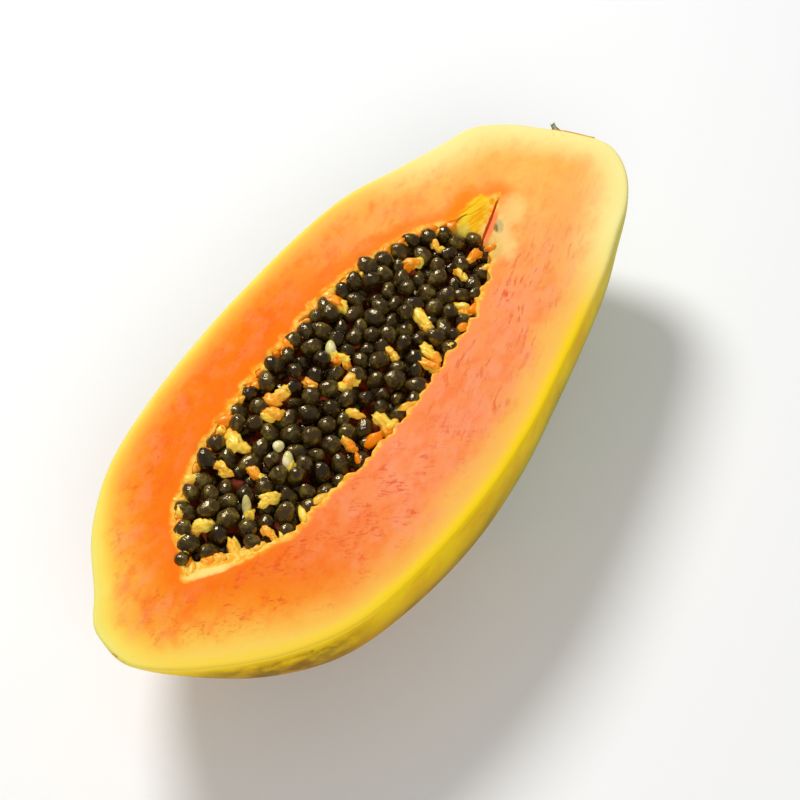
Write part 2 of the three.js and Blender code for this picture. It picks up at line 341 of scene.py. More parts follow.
def ring_points(share):
    thin, thick = edge_point(THIN_SIDE, share), edge_point(THICK_SIDE, share)
    across, centre = (thin - thick) / 2, (thin + thick) / 2
    reach = float(np.hypot(*across))
    from_tip = centre[0] - THIN_SIDE[0][0]
    undercut = 1 + TIP_UNDERCUT * math.exp(-from_tip / 20)
    flatter = 1 - TIP_FLATTER * math.exp(-from_tip / 12)
    lean = LEAN * step(centre[0], -100, -10) * (1 - step(centre[0], 75, 122))
    points = []
    for angle in np.pi * np.arange(SKIN_STEPS + 1) / SKIN_STEPS:
        sine, swell = abs(math.sin(angle)), 1 + SWELL * math.sin(2 * angle) ** 2
        hang = lean * sine * (1 - LEAN_LOST * sine**4)
        x, y = centre + across * (math.cos(angle) * swell - hang / max(reach, 1e-6))
        points.append((x, y, max(CUT_HEIGHT - reach * flatter * sine**undercut * swell, 0)))
    enter, leave = cavity_shares(thin, thick)
    for s in eased(FACE_STEPS)[1:] * enter:
        points.append((*(thick + (thin - thick) * s), CUT_HEIGHT))
    half = max(leave - enter, 0) * reach
    for u in eased(CAVITY_STEPS)[1:]:
        x, y = thick + (thin - thick) * (enter + (leave - enter) * u)
        depth = cavity_floor(x, half, u) if half > 0.3 else 0
        points.append((x, y, CUT_HEIGHT - depth))
    for u in eased(FACE_STEPS)[1:]:
        points.append((*(thick + (thin - thick) * (leave + (1 - leave) * u)), CUT_HEIGHT))
    return points


ring_shares = (eased(RINGS) + np.arange(RINGS + 1) / RINGS) / 2
ROUND = SKIN_STEPS + 2 * FACE_STEPS + CAVITY_STEPS
rolled = np.array([ring_points(s) for s in ring_shares])
print("rings:", rolled.shape)


# %% Half fruit: distances and torn rim
def distance_to(line, points):
    nearest = np.full(len(points), 1e9)
    for start in range(0, len(line), 60):
        gaps = points[:, None, :2] - line[None, start : start + 60]
        nearest = np.minimum(nearest, np.sqrt((gaps**2).sum(2)).min(1))
    return nearest


flat = rolled.reshape(-1, 3)
edge_line = np.array([edge_point(side, s) for side in (THIN_SIDE, THICK_SIDE) for s in np.linspace(0, 1, 1800)])
along = np.linspace(CAVITY_FROM, CAVITY_TO, 700)
rim_line = np.array([(x, wall_at(side, x)) for side in (CAVITY_THIN, CAVITY_THICK) for x in along])
from_skin = distance_to(edge_line, flat)
from_seeds = distance_to(rim_line, flat)
steps = np.tile(np.arange(ROUND + 1), RINGS + 1)
from_skin[np.isin(steps, (0, SKIN_STEPS, ROUND))] = 0
in_cavity = (steps > SKIN_STEPS + FACE_STEPS) & (steps < SKIN_STEPS + FACE_STEPS + CAVITY_STEPS)
on_face = (steps >= SKIN_STEPS) & ~in_cavity & (from_skin > 0.05)
from_seeds[in_cavity] *= -1

shaped = flat.copy()
for i in np.flatnonzero(in_cavity | (on_face & (from_seeds < 3))):
    x, y, z = flat[i]
    tear = 0.55 * rough(x, y, z, 4.5) + 0.5 * rough(x, y, z, 1.7, 1)
    near = math.exp(-abs(from_seeds[i]) / 1.1)
    if in_cavity[i]:
        near = max(near, 0.9 * (1 - step(x, -76, -56)), 0.2 * step(x, 56, 64))
    shaped[i, 2] += (tear - 0.35) * near * (0.8 if on_face[i] else 1.2)
    sideways = 1.2 * rough(x, y, 0, 2.2, 2) + 1.6 * rough(x, y, 0, 6.5, 4)
    shaped[i, 1] += sideways * math.exp(-abs(from_seeds[i]) / 1.6) * (1 - step(x, 60, 70))
for i in np.flatnonzero(on_face):
    x, y, _ = flat[i]
    shaped[i, 2] += 0.16 * rough(x, y, 0, 16, 3) * min(from_skin[i] / 4, 1)
level = np.isclose(flat[:, 2], CUT_HEIGHT)
for i in np.flatnonzero(level & ~in_cavity & (from_skin < EDGE_ROUND)):
    shaped[i, 2] -= EDGE_ROUND - math.sqrt(EDGE_ROUND**2 - (EDGE_ROUND - from_skin[i]) ** 2)
under = ~level & (steps < SKIN_STEPS)
shaped[under, 2] -= np.maximum(flat[under, 2] - CUT_HEIGHT + 2 * EDGE_ROUND, 0) / 2
print("torn points:", int(in_cavity.sum()))

# %% Half fruit: mesh
bpy.ops.object.select_all(action="DESELECT")
bpy.ops.mesh.primitive_grid_add(x_subdivisions=ROUND, y_subdivisions=RINGS, size=0.1)
half = bpy.context.object
half.name = half.data.name = "papaya_half"
half.data.vertices.foreach_set("co", (shaped * MM).ravel())
for name, values in (("from_skin", from_skin), ("from_seeds", from_seeds)):
    half.data.attributes.new(name, "FLOAT", "POINT").data.foreach_set("value", values)
face_is_skin = (np.arange(ROUND * RINGS) % ROUND) < SKIN_STEPS
half.data.polygons.foreach_set("material_index", np.where(face_is_skin, 1, 0).astype("i"))
bpy.ops.object.mode_set(mode="EDIT")
bpy.ops.mesh.select_all(action="SELECT")
bpy.ops.mesh.remove_doubles(threshold=2e-6)
bpy.ops.mesh.dissolve_degenerate(threshold=2e-6)
bpy.ops.mesh.normals_make_consistent(inside=False)
bpy.ops.object.mode_set(mode="OBJECT")
bpy.ops.object.shade_smooth_by_angle(angle=math.radians(50))
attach(half, "root")
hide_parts("half_fruit")
print("half fruit:", len(half.data.polygons), "faces")

# %% [markdown]
# ## Flesh
# Ripe flesh is deep orange and turns yellow in the last few millimetres under the skin, in a band
# that is wider and paler at the two ends. It is pinker on the thick side, partly the flesh's own pink
# and partly painted sheen, and many short dark fibres run through it there. The stored distances
# place the colours, and noise keeps every border uneven. A little light goes through the flesh,
# which a constant subsurface weight shows.

# %% Flesh: bands of colour
flesh = Recipe("papaya_flesh")
x, y, z = flesh.axes()
skin_gap, seed_gap = flesh.attribute("from_skin"), flesh.attribute("from_seeds")
stalk_end, blossom_end = x.between(0.035, 0.100), x.between(-0.052, -0.108)
thick_side = y.between(0.004, -0.020)
wander = flesh.cloud(14, 4) - 0.5
thin_side = 1 - thick_side
band_gap = skin_gap * (1 - 0.6 * stalk_end - 0.63 * blossom_end) * (0.8 + 0.35 * thin_side) + 2.2 * wander
bands = flesh.ramp(
    band_gap / 20,
    [
        (0.0, colour(244, 232, 120)),
        (0.07, colour(252, 222, 92)),
        (0.15, colour(254, 196, 68)),
        (0.25, colour(254, 170, 60)),
        (0.42, colour(253, 143, 30)),
        (0.65, colour(251, 126, 14)),
        (1.0, colour(250, 119, 12)),
    ],
)
pale_end = x.between(-0.01, 0.078) * skin_gap.between(0.5, 4) * (0.8 + 0.9 * wander)
paler = flesh.mix(pale_end * 0.85, bands, colour(254, 204, 104))
# The pinker, paler thick side is partly the flesh's own pink and partly painted sheen.
pink_and_sheen_side = thick_side * x.between(-0.088, -0.03) * skin_gap.between(4, 11) * (1 - 0.6 * stalk_end)
pinker = flesh.mix(pink_and_sheen_side * (0.72 + 0.9 * wander), paler, colour(255, 156, 102))
peach = thick_side * (skin_gap + 9 * wander).between(16, 5) * (1 - stalk_end)
peachy = flesh.mix(peach * (0.8 - 0.35 * x.between(-0.02, -0.06)), pinker, colour(254, 196, 92))
rich_edge = thick_side * (skin_gap + 2 * wander).between(5.2, 1.0) * (1 - stalk_end) * (1 - 0.4 * blossom_end)
edged = flesh.mix(rich_edge * 0.92, peachy, colour(255, 214, 4))
palest = flesh.mix((x + 0.014 * wander).between(0.048, 0.094) * skin_gap.between(18, 1) * 0.95, edged, colour(254, 240, 156))
print("bands and the pink side are mixed")

# %% Flesh: fibres and torn rim
fine = flesh.cloud(1.3, 3, 0.65, flesh.stretched((0.22, 1, 0.6), -0.25), 0.4).between(0.53, 0.64)
slant = flesh.cloud(1.3, 3, 0.65, flesh.stretched((0.42, 1, 0.6), 0.9), 0.8).between(0.53, 0.66)
fibres = flesh.mix(x.between(-0.035, 0.02), slant, fine)
zone = seed_gap.between(1.5, 4) * skin_gap.between(6, 13) * (0.25 + 0.75 * thick_side) * (1 - 0.8 * stalk_end)
patchy = flesh.cloud(8, 3).between(0.38, 0.62)
strength = flesh.node("ShaderNodeSeparateColor", {}, {0: fibres}) * zone * patchy
inner = seed_gap.between(0.5, 4) * skin_gap.between(3, 9) * (1 - 0.7 * stalk_end) * (1 - 0.75 * peach)
along_x = flesh.stretched((0.6, 1, 1), -0.2)
deeper = flesh.mix(flesh.cloud(6.5, 6, 0.68, along_x).between(0.44, 0.64) * inner * (0.5 - 0.15 * thick_side), palest, colour(252, 98, 14))
salmon = flesh.mix(flesh.cloud(5.5, 6, 0.68, along_x).between(0.44, 0.64) * inner * (0.28 * thin_side + 0.6 * thick_side * x.between(-0.085, -0.04)), deeper, colour(255, 158, 116))
speckled = flesh.mix(
    flesh.cloud(2.2, 4, 0.6, along_x).between(0.55, 0.66) * x.between(-0.02, -0.06) * inner * patchy * 0.5, salmon, colour(238, 84, 20)
)
fibred = flesh.mix(strength * (0.6 + 1.6 * wander), speckled, colour(236, 74, 36))
halo = (seed_gap + 5 * (flesh.cloud(8, 3) - 0.5)).between(9, 2) * 0.7
glowing = flesh.mix(halo * (1 - 0.9 * thick_side), fibred, colour(255, 122, 4))
near_tip = x.between(0.01, -0.06)
rim_width = 1.5 + (1.0 * near_tip - 0.8) * thick_side
torn_rim = (seed_gap + 2.0 * (flesh.cloud(4.5, 4, 0.6) - 0.5)) / rim_width
rim_tone = flesh.mix(flesh.cloud(2.2, 3, 0.6).between(0.38, 0.62), colour(252, 166, 22), colour(255, 214, 92))
rimmed = flesh.mix(torn_rim.between(1.5, 0.3) * 0.9, glowing, rim_tone)
print("fibres and the torn rim are mixed")

# %% Flesh: stalk end of the cavity and its wall
ragged = flesh.cloud(2.5, 3) - 0.5
strand = flesh.cloud(1.3, 3, 0.6, flesh.stretched((0.2, 1, 0.6), 0.26)).between(0.38, 0.62)
wet_orange = flesh.mix(flesh.patch((68, 6), (11, 4.6), 0.3, 0.8, 1.5) * 0.85, rimmed, colour(255, 134, 8))
web_tone = flesh.mix(strand, colour(248, 168, 16), colour(255, 216, 44))
yellow_web = flesh.mix(flesh.patch((67.5, 1.6), (10.5, 3.9), 0.2, 0.6, 1.5), wet_orange, web_tone)
lime_web = flesh.mix(flesh.patch((60.4, 1.2), (4.6, 2.8), 0.3, 0.7, 1.4) * 0.7, yellow_web, colour(238, 218, 96))
cream_web = flesh.mix(flesh.patch((65, -10.5), (9, 5), 0.75, 0.9, 1.8) * 0.8, lime_web, colour(252, 214, 132))
olive_web = flesh.mix(flesh.patch((60.2, -9.6), (7, 3.6), 0.7, 0.8, 2) * (0.4 + 0.5 * strand), cream_web, colour(226, 184, 92))
pale_fan = flesh.mix(flesh.patch((77, -7), (7, 4.2), 0.3, 1, 1.4) * 0.6, olive_web, colour(255, 222, 136))
pink_lip = flesh.mix(flesh.patch((68.4, -5.2), (6.5, 1.2), 0.26, 0.6, 0.6), pale_fan, colour(254, 138, 78))
# The short dark brown line is painted shade in the gap between the flesh and the web.
gap = flesh.mix(flesh.patch((65.6, 4.5), (2.8, 0.32), -0.24, 0.7, 1.4) * 0.8, pink_lip, colour(124, 66, 20))
# The split is painted dark red: painted shade in its crease.
split = flesh.patch((69.6, -3.6), (10, 0.5), 0.24, 0.5, 1.5)
cleft = flesh.mix(split, gap, colour(190, 48, 8))
pit = flesh.patch((69.1, -7.6), (3.0, 1.5), 0.58, 0.7, 1.6)
pit_tone = flesh.mix(flesh.patch((67.8, -7.0), (2.4, 0.8), 0.58, 0.8, 1.2), colour(204, 176, 116), colour(118, 96, 50))
pitted = flesh.mix(pit * 0.9, cleft, pit_tone)
inside = (0 - seed_gap) + 1.6 * ragged
mash = flesh.mix(flesh.cloud(3.4, 3).between(0.35, 0.65), colour(250, 156, 22), colour(255, 206, 84))
walled = flesh.mix(inside.between(-0.6, 0.5) * x.between(0.062, 0.056), pitted, mash)
grainy = flesh.mix(flesh.cloud(1.4, 3, 0.6).between(0.4, 0.6), colour(250, 178, 44), colour(255, 218, 104))
shelf = (seed_gap + 3 * ragged).between(1.4, 0.2) * x.between(-0.058, -0.068)
shelved = flesh.mix(shelf, walled, grainy)
# The pale cream stripe along the shelf's lip is a painted highlight.
lip = flesh.patch((-86.8, -9.3), (6.5, 1.3), -0.63, 1, 2)
creamy = flesh.mix(lip * 0.9, shelved, colour(255, 230, 130))
# Below 3.6 mm under the cut the cavity wall fades to dark red by 7.5 mm: painted shade in the hollow.
deep = z.between((CUT_HEIGHT - 3.6) * MM, (CUT_HEIGHT - 7.5) * MM)
coloured = flesh.mix(deep, creamy, colour(92, 24, 6))
print("the cavity's wall is mixed")

# %% Flesh: surface
grain = flesh.cloud(0.9, 3, 0.6) * 0.4 + strength * 0.6 - split * 2.5 - pit * 1.5
relief = flesh.bump(grain, 0.22, 0.6, flesh.bump(flesh.cloud(5, 3), 0.5, 0.3))
flesh.set(
    Base_Color=coloured,
    Roughness=0.55 + 0.2 * flesh.cloud(6, 3),
    Normal=relief,
    Subsurface_Weight=0.06,
    Subsurface_Scale=0.0025,
    Subsurface_Radius=(1.0, 0.45, 0.12),
    Specular_IOR_Level=0.06,
)
half.data.materials.append(flesh.material)
print("flesh has", len(flesh.tree.nodes), "nodes")

# %% [markdown]
# ## Skin
# The skin is thin, waxy and almost smooth. Near the cut it is golden yellow, and lower down it turns
# green towards the stalk, in soft blotches. On the blossom half it darkens to brown olive instead,
# with a browner patch just under the cut by the tip: painted shade. Pale pores and a few brown
# freckles are scattered over it.

# %% Skin material
peel = Recipe("papaya_skin")
x, y, z = peel.axes()
drop = (z + 0.012 * (peel.cloud(26, 4) - 0.5)).between(0.0505, 0.031)
gold = peel.mix(peel.cloud(12, 4).between(0.35, 0.7), colour(250, 212, 3), colour(238, 188, 2))
ripe = peel.mix(x.between(0.045, 0.095) * 0.8, gold, colour(214, 210, 74))
# Painted shade: on the blossom half the skin below the cut turns brown olive in blotches.
shaded = peel.mix(peel.cloud(13, 4).between(0.3, 0.75), colour(204, 150, 2), colour(138, 112, 12))
unripe = peel.mix(peel.cloud(13, 4).between(0.3, 0.7), colour(178, 164, 22), colour(118, 136, 32))
# A brown blotchy patch just under the cut on the near side by the blossom tip is painted shade.
tip_shade_blotches = peel.cloud(7, 4, at=peel.stretched((0.5, 1, 1), -0.5)).between(0.28, 0.62)
near_tip = x.between(-0.066, -0.090) * y.between(-0.010, -0.028) * tip_shade_blotches
lower = peel.mix((x + 0.05 * (peel.cloud(30, 3) - 0.5)).between(-0.04, 0.02), shaded, unripe)
ground = peel.mix(near_tip * z.between(0.0508, 0.0465) * 0.85, peel.mix(drop, ripe, lower), colour(128, 88, 8))
pores = peel.node("ShaderNodeTexVoronoi", {}, {"Vector": peel.place, "Scale": 420}).between(0.2, 0.06)
pored = peel.mix(pores * peel.cloud(5, 2).between(0.45, 0.6) * 0.35, ground, colour(240, 226, 120))
spots = peel.node("ShaderNodeTexVoronoi", {}, {"Vector": peel.place, "Scale": 120}).between(0.13, 0.05)
freckled = peel.mix(spots * peel.cloud(20, 2).between(0.5, 0.62) * 0.6, pored, colour(120, 88, 26))
far_side = 1 - (1 - y.between(0.02, 0.04)) * (1 - x.between(0.104, 0.114))
far_rim = far_side * z.between((CUT_HEIGHT - 3) * MM, (CUT_HEIGHT - 0.5) * MM)
edged = peel.mix(far_rim * 0.7, freckled, colour(150, 166, 84))
waves = peel.bump(peel.cloud(7, 3), 0.5, 0.3)
peel.set(
    Base_Color=edged,
    Roughness=0.42 + 0.16 * peel.cloud(9, 3),
    Normal=peel.bump(pores, 0.05, 0.5, waves),
    Specular_IOR_Level=0.06,
)
half.data.materials.append(peel.material)
print("skin has", len(peel.tree.nodes), "nodes")

# %% [markdown]
# ## The heap of seeds
# About a hundred and fifty seeds lie in view. Placing each by hand would be slow and would look
# placed, so they are scattered by a counted random rule and then push each other apart until they
# lie side by side, between the shreds of pulp that keep their places. It is the rule that built the
# plain solid, with the same numbers, so every seed lies where its solid is.

# %% Heap rule
SEEDS, SEED_LENGTH, SEED_WIDTH_SHARE, SEED_WALL_ROOM = 150, (5.7, 7.7), 0.8, 2.3
SEED_TIP_ROOM, SHELF = 18, 8
HEAP_TOP, HEAP_RELIEF, HEAP_SLOPE = 2.2, 1.5, 0.06
SETTLE_STEPS, SETTLE_ROOM = 40, 0.9
RIM_LUMPS, RIM_LUMP_SIZE = 52, (1.5, 2.6)
BITS = [
    (-63.3, -4.7, 7.0, 36), (-43.5, -5.0, 4.8, 36), (-41.1, 0.2, 3.6, 90), (-2.5, 8.3, 4.8, 35),
    (-25.9, 11.6, 8.2, -26), (-32.1, 8.6, 6.4, -41), (-17.1, 5.8, 5.4, 73), (-46.3, 11.2, 8.5, 77),
    (-56.5, 9.2, 6.2, 83), (-52.0, 0.1, 5.6, 59), (-75.3, 2.4, 6.4, -46), (-56.9, -7.5, 6.0, -28),
    (-17.6, -11.0, 5.0, 89), (-16.1, -20.3, 8.7, 74), (-9.9, -3.4, 6.2, -37), (-27.4, -16.1, 5.4, 64),
    (-66.5, -14.6, 5.0, 75), (23.6, -8.0, 8.2, 44), (35.1, -15.1, 6.0, 86), (7.6, -7.3, 5.4, 68),
    (14.6, -17.2, 6.6, 87), (10.3, -20.0, 6.4, 76), (51.2, 4.7, 5.0, 73), (46.6, -7.6, 5.2, 79),
    (54.9, -6.3, 6.0, -15), (14.5, 17.6, 7.2, 89), (-3.6, 3.3, 6.2, 86), (40.8, 7.2, 6.4, -19),
]


class Dice:
    """A counted random rule that gives the same numbers everywhere."""

    def __init__(self, state):
        self.state = state

    def draw(self, low, high):
        self.state = (self.state * 1664525 + 1013904223) % 4294967296
        return low + (high - low) * self.state / 4294967296


def heap_member(dice, x, y, length, heading, ripe):
    member = {"x": x, "y": y, "length": length, "heading": heading, "ripe": ripe}
    member["tilt"] = dice.draw(-0.75, 0.75)
    member["lift"] = dice.draw(-HEAP_RELIEF, HEAP_RELIEF) if ripe else 0
    return member


def push_apart(one, other):
    want = SETTLE_ROOM * (one["length"] + other["length"]) / 2
    dx, dy = other["x"] - one["x"], other["y"] - one["y"]
    if abs(dx) >= want or abs(dy) >= want:
        return
    apart = math.hypot(dx, dy)
    if apart >= want or apart < 1e-6:
        return
    push = 0.5 * (want - apart) / apart
    for seed, way in ((one, -push), (other, push)):
        if seed["ripe"]:
            seed["x"] += way * dx
            seed["y"] += way * dy


def keep_in_cavity(seed):
    seed["x"] = min(max(seed["x"], CAVITY_FROM + 2 * SEED_WALL_ROOM), CAVITY_TO - SEED_TIP_ROOM)
    shelf = SHELF * (1 - step(seed["x"], -88, -64))
    high = wall_at(CAVITY_THIN, seed["x"]) - SEED_WALL_ROOM
    low = wall_at(CAVITY_THICK, seed["x"]) + SEED_WALL_ROOM + shelf
    seed["y"] = (high + low) / 2 if high < low else min(max(seed["y"], low), high)


def settled_heap(dice):
    heap = [heap_member(dice, x, y + CORE_Y, length, math.radians(turn), False) for x, y, length, turn in BITS]
    while len(heap) < len(BITS) + SEEDS:
        x = dice.draw(CAVITY_FROM, CAVITY_TO - SEED_TIP_ROOM)
        walls = wall_at(CAVITY_THICK, x), wall_at(CAVITY_THIN, x)
        y = dice.draw(*walls)
        if dice.draw(0, max(CAVITY_THIN) - min(CAVITY_THICK)) < walls[1] - walls[0]:
            length = dice.draw(*SEED_LENGTH)
            heap.append(heap_member(dice, x, y, length, dice.draw(0, math.pi), True))
    for _ in range(SETTLE_STEPS):
        for i, one in enumerate(heap):
            for other in heap[i + 1 :]:
                push_apart(one, other)
        for member in heap:
            if member["ripe"]:
                keep_in_cavity(member)
    return heap


dice = Dice(5867)
for _ in range(RIM_LUMPS):
    for _ in range(8):
        dice.draw(0, 1)
heap = settled_heap(dice)
print("heap:", sum(m["ripe"] for m in heap), "seeds and", sum(not m["ripe"] for m in heap), "bits")

# %% [markdown]
# ## One seed, then many
# A seed is an egg in a thin wet sac that wrinkles over it. One is shaped from a cube, rounded by
# subdivision and drawn out at one end. Each copy then gets its own size, turn, dents and tone.
# A plainer second layer lies lower, in the gaps of the first, so that no gap ends in a flat floor.


# %% Copies of one form
def model_seed(cuts):
    bpy.ops.object.select_all(action="DESELECT")
    bpy.ops.mesh.primitive_cube_add(size=1.4)
    form = bpy.context.object
    bpy.ops.object.mode_set(mode="EDIT")
    bpy.ops.mesh.select_all(action="SELECT")
    bpy.ops.mesh.subdivide(number_cuts=cuts)
    bpy.ops.transform.tosphere(value=1)
    bpy.ops.object.mode_set(mode="OBJECT")
    for v in form.data.vertices:
        v.co = v.co.normalized()
        v.co.y *= 1 - 0.2 * v.co.x
        v.co.z *= 1 - 0.2 * v.co.x
    return form


def scatter(name, groups, dent, fine=0.0):
    """One mesh of many copies: each member gives its place, radii, heading, tilt and tone."""
    copies = []
    for form, members in groups:
        for m in members:
            mesh = form.data.copy()
            for v in mesh.vertices:
                spot = v.co * 1.7 + Vector((len(copies) * 3.1, len(copies) * 1.7, 0))
                v.co *= 1 + dent * (noise.noise(spot) + 0.5 * noise.noise(spot * 2.3)) + fine * noise.noise(spot * 4.7)
            size = Matrix.Diagonal((*m["radii"], 1))
            turn = Euler((m.get("roll", 0), m["tilt"], m["heading"]), "XYZ").to_matrix().to_4x4()
            mesh.transform(Matrix.Scale(MM, 4) @ Matrix.Translation(m["place"]) @ turn @ size)
            mesh.attributes.new("tone", "FLOAT", "POINT").data.foreach_set("value", [m["tone"]] * len(mesh.vertices))
            copies.append(bpy.data.objects.new("copy", mesh))
            bpy.context.scene.collection.objects.link(copies[-1])
    bpy.ops.object.select_all(action="DESELECT")
    for copy in copies:
        copy.select_set(True)
    bpy.context.view_layer.objects.active = copies[0]
    bpy.ops.object.join()
    piece = bpy.context.object
    piece.name = piece.data.name = name
    bpy.ops.object.shade_smooth()
    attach(piece, "root")
    return piece


def heap_height(y):
    return CUT_HEIGHT - HEAP_TOP + HEAP_SLOPE * (y - CORE_Y)


print("seeds and pulp are copies of a few forms")

# %% Ripe seeds
luck = Dice(20407)
seed_form, plain_seed = model_seed(3), model_seed(2)
top_layer, bits = [], []
for m in heap:
    width = m["length"] / 2 * (SEED_WIDTH_SHARE * luck.draw(0.9, 1.1) if m["ripe"] else 0.5)
    member = {
        "place": (m["x"], m["y"], heap_height(m["y"]) + m["lift"]),
        "radii": (m["length"] / 2 * luck.draw(0.95, 1.1), width, width * luck.draw(0.88, 1.05)),
        "heading": m["heading"], "tilt": m["tilt"] * 1.4, "roll": luck.draw(0, 6.28), "tone": luck.draw(0, 1),
    }
    (top_layer if m["ripe"] else bits).append(member)
# The lower seeds take only the darkest tones, 0 to 0.2: painted shade under the top layer.
low_layer = []
for _ in range(1800):
    x = luck.draw(CAVITY_FROM + 4, CAVITY_TO - SEED_TIP_ROOM)
    inner = 2.5 + SHELF * (1 - step(x, -88, -64))
    y = luck.draw(wall_at(CAVITY_THICK, x) + inner, wall_at(CAVITY_THIN, x) - 2.5)
    place = Vector((x, y, heap_height(y) - luck.draw(3.4, 5.4)))
    if len(low_layer) < 150 and all((place - Vector(m["place"])).length > 3.8 for m in top_layer + low_layer):
        low_layer.append({
            "place": place, "radii": (3.4, 2.8, 2.7), "heading": luck.draw(0, 3.14),
            "tilt": luck.draw(-0.9, 0.9), "roll": luck.draw(0, 6.28), "tone": luck.draw(0, 0.2),
        })
seeds = scatter("seed_heap", [(seed_form, top_layer), (plain_seed, low_layer)], 0.11, 0.05)
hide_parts("seeds")
print("seeds:", len(top_layer), "on top and", len(low_layer), "below, faces:", len(seeds.data.polygons))

# %% [markdown]
# ## Seed finish
# Fresh seeds are olive black. The wet sac over them is clear, grey where it is thick, and so glossy
# that it mirrors the window. A smooth, strongly reflecting surface with a faint olive sheen gives the
# gleam, and a fine bump breaks the highlight as the wrinkles of the sac do.

# %% Seed material
sac = Recipe("wet_seed")
tone = sac.attribute("tone")
dark = sac.mix(tone, colour(24, 12, 2), colour(64, 44, 12))
film = sac.cloud(2.4, 3).between(0.46, 0.7)
cloudy = sac.mix(film * (0.15 + 0.7 * tone), dark, colour(126, 110, 36))
wrinkles = sac.cloud(0.9, 3, 0.6)
sac.set(
    Base_Color=cloudy,
    Roughness=0.03 + 0.22 * sac.cloud(1.2, 2),
    Normal=sac.bump(wrinkles, 0.26, 0.7, sac.bump(sac.cloud(2.6, 2), 0.7, 0.7)),
    IOR=1.7,
    Specular_IOR_Level=0.75,
    Specular_Tint=colour(255, 232, 190),
    Sheen_Weight=0.12,
    Sheen_Roughness=0.3,
    Sheen_Tint=colour(126, 118, 44),
)
seeds.data.materials.append(sac.material)
print("seed finish has", len(sac.tree.nodes), "nodes")

# %% [markdown]
# ## Pulp
# Under the seeds lies a bed of wet red pulp, darkened almost to black as painted shade between the
# seeds. Between them stick up soft orange and yellow shreds, and a few unripe seeds, which are cream,
# slim and pointed. Along the rim the flesh is torn into small yellow lumps where the seeds came away.

# %% Pulp bed
bpy.ops.object.select_all(action="DESELECT")
bpy.ops.mesh.primitive_grid_add(x_subdivisions=14, y_subdivisions=90, size=0.1)
bed = bpy.context.object
bed.name = bed.data.name = "pulp_bed"
spots = []
for i in range(91):
    x = CAVITY_FROM + 3 + (CAVITY_TO - SEED_TIP_ROOM - CAVITY_FROM) * i / 90
    low, high = wall_at(CAVITY_THICK, x) + 0.6, wall_at(CAVITY_THIN, x) - 0.6
    for j in range(15):
        y = low + (high - low) * j / 14
        spots.append((x, y, heap_height(y) - 4.6 + 1.0 * rough(x, y, 0, 5, 5)))
bed.data.vertices.foreach_set("co", (np.array(spots) * MM).ravel())
thick = bed.modifiers.new("thickness", "SOLIDIFY")
thick.thickness, thick.offset = 0.0012, -1
bpy.ops.object.modifier_apply(modifier="thickness")
bpy.ops.object.shade_smooth()
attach(bed, "root")
mash = Recipe("dark_pulp")
# The bed's dark red is painted shade deep between the seeds, over the pulp's own red.
mash.set(
    Base_Color=mash.mix(mash.cloud(4, 3).between(0.35, 0.65), colour(58, 10, 2), colour(150, 48, 4)),
    Roughness=0.5,
    Specular_IOR_Level=0.1,
    Normal=mash.bump(mash.cloud(1.5, 3), 0.4, 0.6),
)
bed.data.materials.append(mash.material)
print("bed:", len(bed.data.polygons), "faces")


# %% Shreds, unripe seeds and the torn rim
def model_lump(fineness):
    bpy.ops.object.select_all(action="DESELECT")
    bpy.ops.mesh.primitive_ico_sphere_add(subdivisions=fineness, radius=1)
    return bpy.context.object


shred_form, crumb_form = model_lump(3), model_lump(2)
shreds, unripe, crumbs = [], [], []
SHELF_LUMPS = [(-84.4, -6.4, 2.6, -0.3), (-81.2, -8.2, 2.4, -0.8), (-76.0, -9.6, 3.4, 0.9), (-72.5, -15.4, 2.4, -0.5)]
UNRIPE = {0: ((4.0, 1.35, 1.35), -1.3, 2.6), 1: ((2.7, 1.7, 1.5), -0.5, 2.2), 2: ((1.8, 1.8, 1.7), 0, 2.0), 3: ((2.7, 1.7, 1.6), -0.3, 2.0)}
for number, m in enumerate(bits):
    x, y, z = m["place"]
    if number in UNRIPE:
        radii, tilt, lift = UNRIPE[number]
        unripe.append({**m, "place": (x, y, z + lift), "radii": radii, "tilt": tilt})
        if number != 2:
            shreds.append({**m, "place": (x - 1.0, y - 1.6, z + 1.0), "radii": (1.9, 1.5, 1.6), "tone": 0.9})
        continue
    long, wide, _ = m["radii"]
    cos, sin = math.cos(m["heading"]), math.sin(m["heading"])
    for share, scale, rise in ((-0.5, 0.66, 0.5), (0.1, 0.8, 1.2), (0.62, 0.55, 0.4)):
        aside = luck.draw(-0.8, 0.8)
        shreds.append({
            "place": (x + share * long * cos - aside * sin, y + share * long * sin + aside * cos, z + rise),
            "radii": (long * scale * 1.1, wide * luck.draw(0.8, 1.15), wide * luck.draw(0.7, 1.0)),
            "heading": m["heading"] + luck.draw(-0.6, 0.6), "tilt": luck.draw(-0.5, 0.5),
            "roll": luck.draw(0, 6), "tone": luck.draw(0.2, 1),
        })
for x, y, long, heading in SHELF_LUMPS:
    shreds.append({
        "place": (x, y + CORE_Y, CUT_HEIGHT - 1.6), "radii": (long, 1.7, 1.5), "heading": heading,
        "tilt": -0.15, "tone": luck.draw(0.4, 0.9),
    })
for i in range(110):
    x = CAVITY_FROM + 1 + (CAVITY_TO - SEED_TIP_ROOM - CAVITY_FROM) * (i + luck.draw(0, 1)) / 110
    side, way = (CAVITY_THICK, 1) if i % 6 == 0 and x > -66 else (CAVITY_THIN, -1)
    size = luck.draw(0.8, 2.3)
    crumbs.append({
        "place": (x, wall_at(side, x) + way * luck.draw(0, 1.8), CUT_HEIGHT - size * luck.draw(0.5, 1.5)),
        "radii": (size * luck.draw(1.1, 2.0), size * luck.draw(0.6, 1.0), size),
        "heading": luck.draw(-0.9, 0.9), "tilt": luck.draw(-0.5, 0.5), "roll": luck.draw(-0.6, 0.6), "tone": luck.draw(0, 1),
    })
